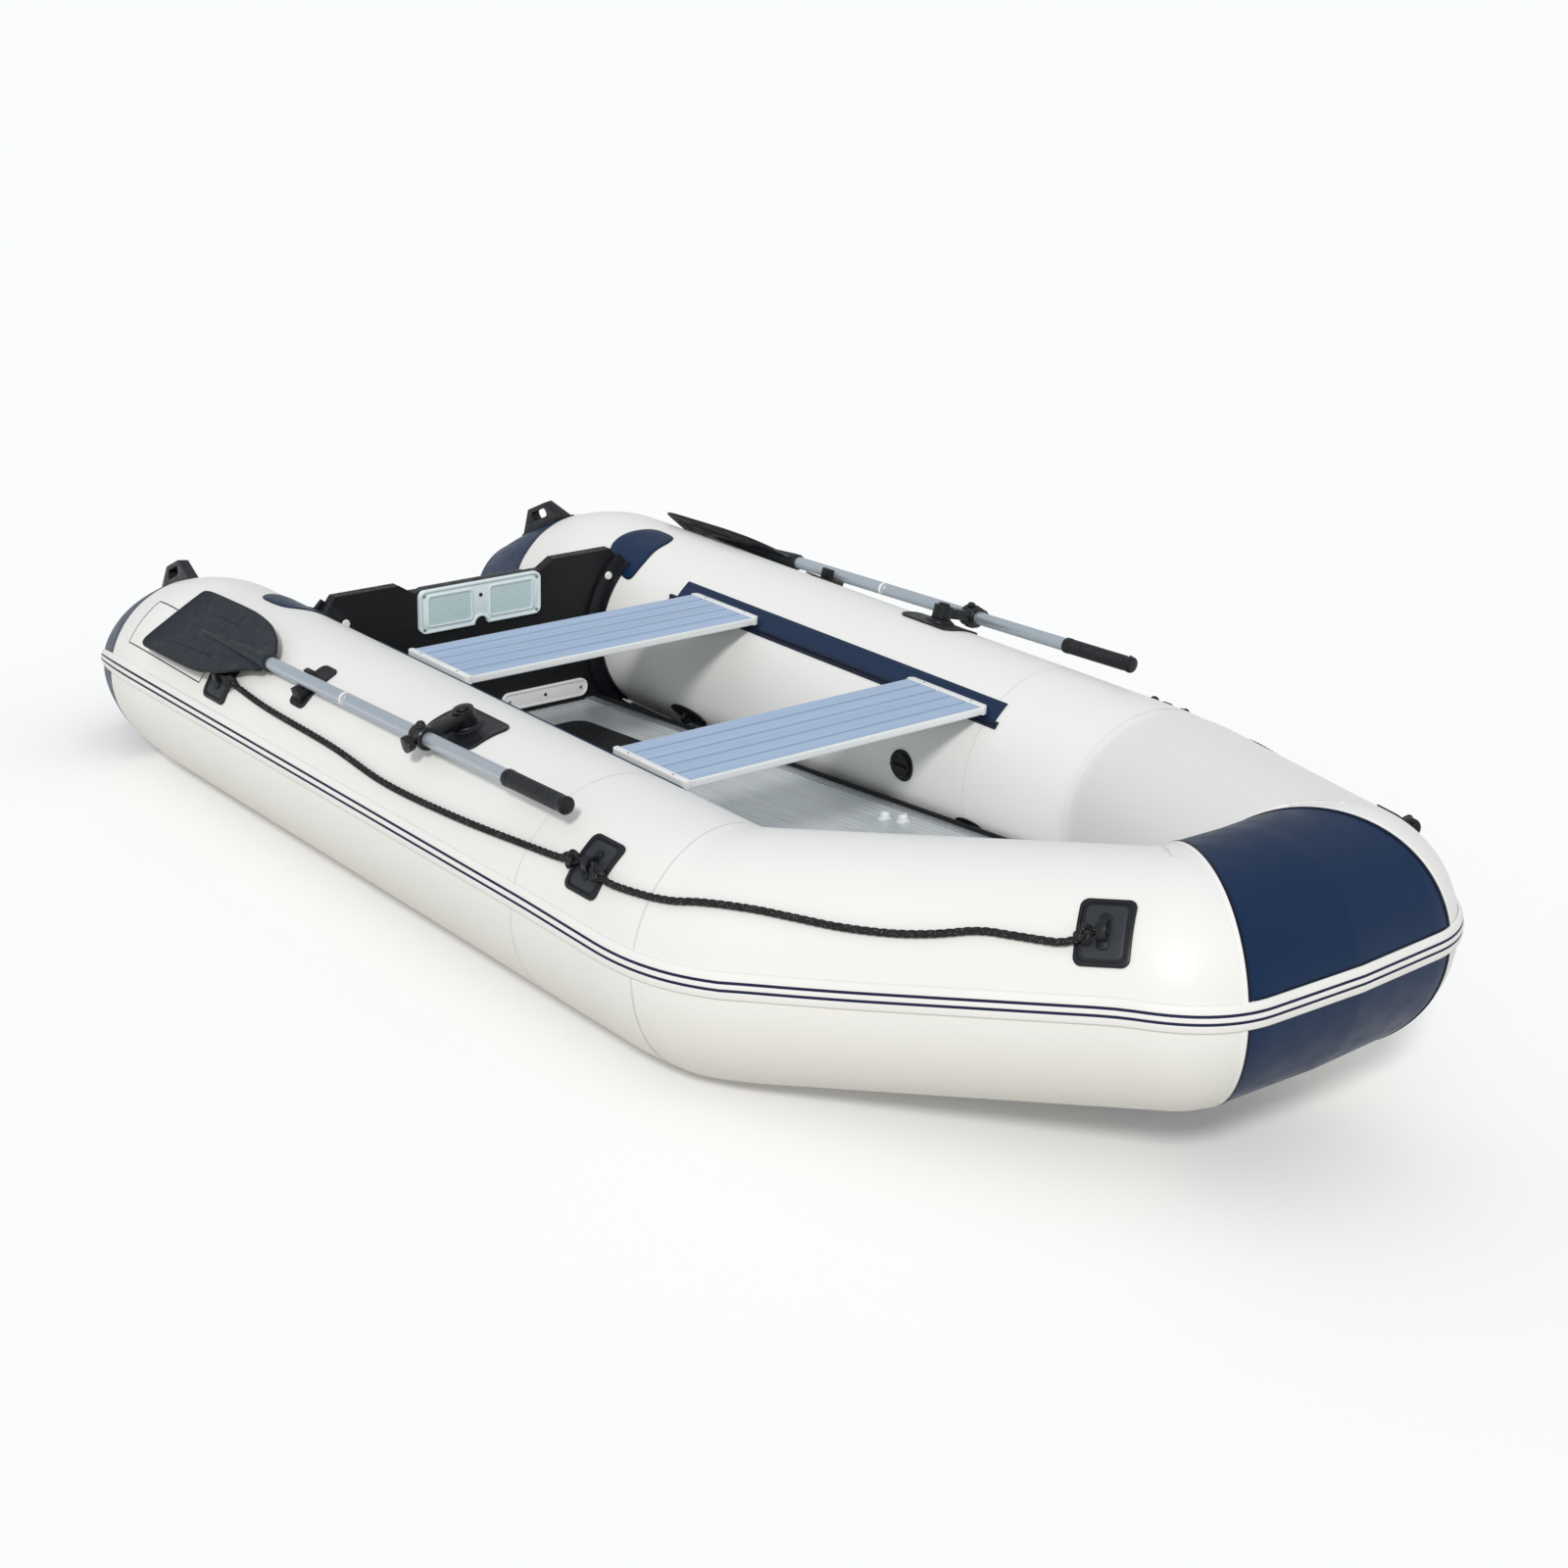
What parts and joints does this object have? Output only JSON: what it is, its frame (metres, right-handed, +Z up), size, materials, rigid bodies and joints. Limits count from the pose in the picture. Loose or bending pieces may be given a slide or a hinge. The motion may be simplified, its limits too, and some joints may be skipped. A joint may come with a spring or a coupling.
{
  "type": "inflatable boat",
  "caption": "Inflatable dinghy with two air tubes, a raised bow, a motor transom, an aluminium floor, sliding bench seats, grab lines and swinging oars.",
  "frame": {"origin": "on the ground under the middle of the boat, where the two air tubes rest", "axes": "+X to the bow, +Y to port, +Z up"},
  "size_m": [3.1841, 1.5342, 0.5445],
  "materials": {
    "bottom_skin": "grey PVC-coated fabric",
    "bow_nose": "navy PVC-coated fabric",
    "bow_panel_port": "white PVC-coated fabric, smooth and slightly glossy",
    "bow_panel_starboard": "white PVC-coated fabric, smooth and slightly glossy",
    "drain_plug": "black moulded plastic",
    "floor_board_aft": "extruded, anodised",
    "floor_board_bow": "extruded, anodised",
    "floor_board_middle": "extruded, anodised",
    "floor_stringer_port": "extruded, anodised",
    "floor_stringer_starboard": "extruded, anodised",
    "grab_line_port": "black braided rope",
    "grab_line_starboard": "black braided rope",
    "grab_patch_aft_port": "moulded black rubber",
    "grab_patch_aft_starboard": "moulded black rubber",
    "grab_patch_bow_port": "moulded black rubber",
    "grab_patch_bow_starboard": "moulded black rubber",
    "grab_patch_middle_port": "moulded black rubber",
    "grab_patch_middle_starboard": "moulded black rubber",
    "holder_bolt_port": "white moulded cap",
    "holder_bolt_starboard": "white moulded cap",
    "hull_tube_port": "white PVC-coated fabric, smooth and slightly glossy",
    "hull_tube_starboard": "white PVC-coated fabric, smooth and slightly glossy",
    "keel_tube": "grey PVC-coated fabric, inflated",
    "lashing_patch_port": "moulded black rubber",
    "lashing_patch_starboard": "moulded black rubber",
    "motor_plate_inner": "pale moulded plastic",
    "motor_plate_outer": "black moulded plastic",
    "oar_blade_port": "charcoal moulded plastic",
    "oar_blade_starboard": "charcoal moulded plastic",
    "oar_clip_port": "moulded black rubber",
    "oar_clip_starboard": "moulded black rubber",
    "oar_grip_port": "moulded black rubber",
    "oar_grip_starboard": "moulded black rubber",
    "oar_shaft_port": "anodised tube",
    "oar_shaft_starboard": "anodised tube",
    "oarlock_knob_port": "black moulded plastic",
    "oarlock_knob_starboard": "black moulded plastic",
    "oarlock_patch_port": "moulded black rubber",
    "oarlock_patch_starboard": "moulded black rubber",
    "oarlock_swivel_port": "black moulded plastic",
    "oarlock_swivel_starboard": "black moulded plastic",
    "rub_strake": "white ribbed rubbing strip",
    "seat_board_front": "extruded and anodised, brushed lengthwise",
    "seat_board_rear": "extruded and anodised, brushed lengthwise",
    "seat_cap_front_port": "white moulded plastic",
    "seat_cap_front_starboard": "white moulded plastic",
    "seat_cap_rear_port": "white moulded plastic",
    "seat_cap_rear_starboard": "white moulded plastic",
    "seat_rail_port": "navy PVC-coated fabric with a corded edge",
    "seat_rail_starboard": "navy PVC-coated fabric with a corded edge",
    "stern_cap_port": "navy PVC-coated fabric",
    "stern_cap_starboard": "navy PVC-coated fabric",
    "stern_handle_port": "moulded black rubber",
    "stern_handle_starboard": "moulded black rubber",
    "transom_board": "black sealed board",
    "transom_holder_port": "moulded black rubber",
    "transom_holder_starboard": "moulded black rubber",
    "transom_lower_plate": "pale moulded plastic",
    "valve_cap_port": "black moulded plastic",
    "valve_cap_starboard": "black moulded plastic"
  },
  "bodies": {
    "hull": {"bottom_skin": "bottom_skin", "bow_nose": "bow_nose", "bow_panel_port": "bow_panel_port", "bow_panel_starboard": "bow_panel_starboard", "floor_board_aft": "floor_board_aft", "floor_board_bow": "floor_board_bow", "floor_board_middle": "floor_board_middle", "floor_stringer_port": "floor_stringer_port", "floor_stringer_starboard": "floor_stringer_starboard", "grab_line_port": "grab_line_port", "grab_line_starboard": "grab_line_starboard", "grab_patch_aft_port": "grab_patch_aft_port", "grab_patch_aft_starboard": "grab_patch_aft_starboard", "grab_patch_bow_port": "grab_patch_bow_port", "grab_patch_bow_starboard": "grab_patch_bow_starboard", "grab_patch_middle_port": "grab_patch_middle_port", "grab_patch_middle_starboard": "grab_patch_middle_starboard", "holder_bolt_port": "holder_bolt_port", "holder_bolt_starboard": "holder_bolt_starboard", "hull_tube_port": "hull_tube_port", "hull_tube_starboard": "hull_tube_starboard", "keel_tube": "keel_tube", "lashing_patch_port": "lashing_patch_port", "lashing_patch_starboard": "lashing_patch_starboard", "motor_plate_inner": "motor_plate_inner", "motor_plate_outer": "motor_plate_outer", "oar_clip_port": "oar_clip_port", "oar_clip_starboard": "oar_clip_starboard", "oarlock_patch_port": "oarlock_patch_port", "oarlock_patch_starboard": "oarlock_patch_starboard", "rub_strake": "rub_strake", "seat_rail_port": "seat_rail_port", "seat_rail_starboard": "seat_rail_starboard", "stern_cap_port": "stern_cap_port", "stern_cap_starboard": "stern_cap_starboard", "stern_handle_port": "stern_handle_port", "stern_handle_starboard": "stern_handle_starboard", "transom_board": "transom_board", "transom_holder_port": "transom_holder_port", "transom_holder_starboard": "transom_holder_starboard", "transom_lower_plate": "transom_lower_plate"},
    "seat_rear": {"seat_board_rear": "seat_board_rear", "seat_cap_rear_port": "seat_cap_rear_port", "seat_cap_rear_starboard": "seat_cap_rear_starboard"},
    "seat_front": {"seat_board_front": "seat_board_front", "seat_cap_front_port": "seat_cap_front_port", "seat_cap_front_starboard": "seat_cap_front_starboard"},
    "oar_starboard": {"oar_shaft_starboard": "oar_shaft_starboard", "oar_grip_starboard": "oar_grip_starboard", "oar_blade_starboard": "oar_blade_starboard", "oarlock_swivel_starboard": "oarlock_swivel_starboard"},
    "clamp_knob_starboard": {"oarlock_knob_starboard": "oarlock_knob_starboard"},
    "valve_starboard": {"valve_cap_starboard": "valve_cap_starboard"},
    "oar_port": {"oar_shaft_port": "oar_shaft_port", "oar_grip_port": "oar_grip_port", "oar_blade_port": "oar_blade_port", "oarlock_swivel_port": "oarlock_swivel_port"},
    "clamp_knob_port": {"oarlock_knob_port": "oarlock_knob_port"},
    "valve_port": {"valve_cap_port": "valve_cap_port"},
    "drain": {"drain_plug": "drain_plug"}
  },
  "joints": [
    {"name": "rear_seat_slide", "type": "slide", "parent": "hull", "child": "seat_rear", "axis": [1, 0, 0], "range_m": [-0.085, 0.24]},
    {"name": "front_seat_slide", "type": "slide", "parent": "hull", "child": "seat_front", "axis": [1, 0, 0], "range_m": [-0.24, 0.033]},
    {"name": "oar_swing_starboard", "type": "hinge", "parent": "hull", "child": "oar_starboard", "pos_m": [-0.04747, -0.59966, 0.4276], "axis": [0, -0.2672, 0.9636], "range_deg": [0, 110]},
    {"name": "clamp_knob_turn_starboard", "type": "hinge", "parent": "oar_starboard", "child": "clamp_knob_starboard", "pos_m": [-0.04747, -0.69544, 0.42572], "axis": [0, -0.9636, -0.2672], "range_deg": [0, 360]},
    {"name": "oar_swing_port", "type": "hinge", "parent": "hull", "child": "oar_port", "pos_m": [-0.04747, 0.59966, 0.4276], "axis": [0, -0.2672, -0.9636], "range_deg": [0, 110]},
    {"name": "clamp_knob_turn_port", "type": "hinge", "parent": "oar_port", "child": "clamp_knob_port", "pos_m": [-0.04747, 0.69544, 0.42572], "axis": [0, 0.9636, -0.2672], "range_deg": [0, 360]},
    {"name": "valve_turn_starboard", "type": "hinge", "parent": "hull", "child": "valve_starboard", "pos_m": [0.15353, -0.3236, 0.21753], "axis": [0, 1, 0], "range_deg": [0, 90]},
    {"name": "valve_turn_port", "type": "hinge", "parent": "hull", "child": "valve_port", "pos_m": [0.15353, 0.3236, 0.21753], "axis": [0, -1, 0], "range_deg": [0, 90]},
    {"name": "drain_plug_turn", "type": "hinge", "parent": "hull", "child": "drain", "pos_m": [-0.96947, -0.15, 0.075], "axis": [-1, 0, 0], "range_deg": [0, 360]}
  ]
}
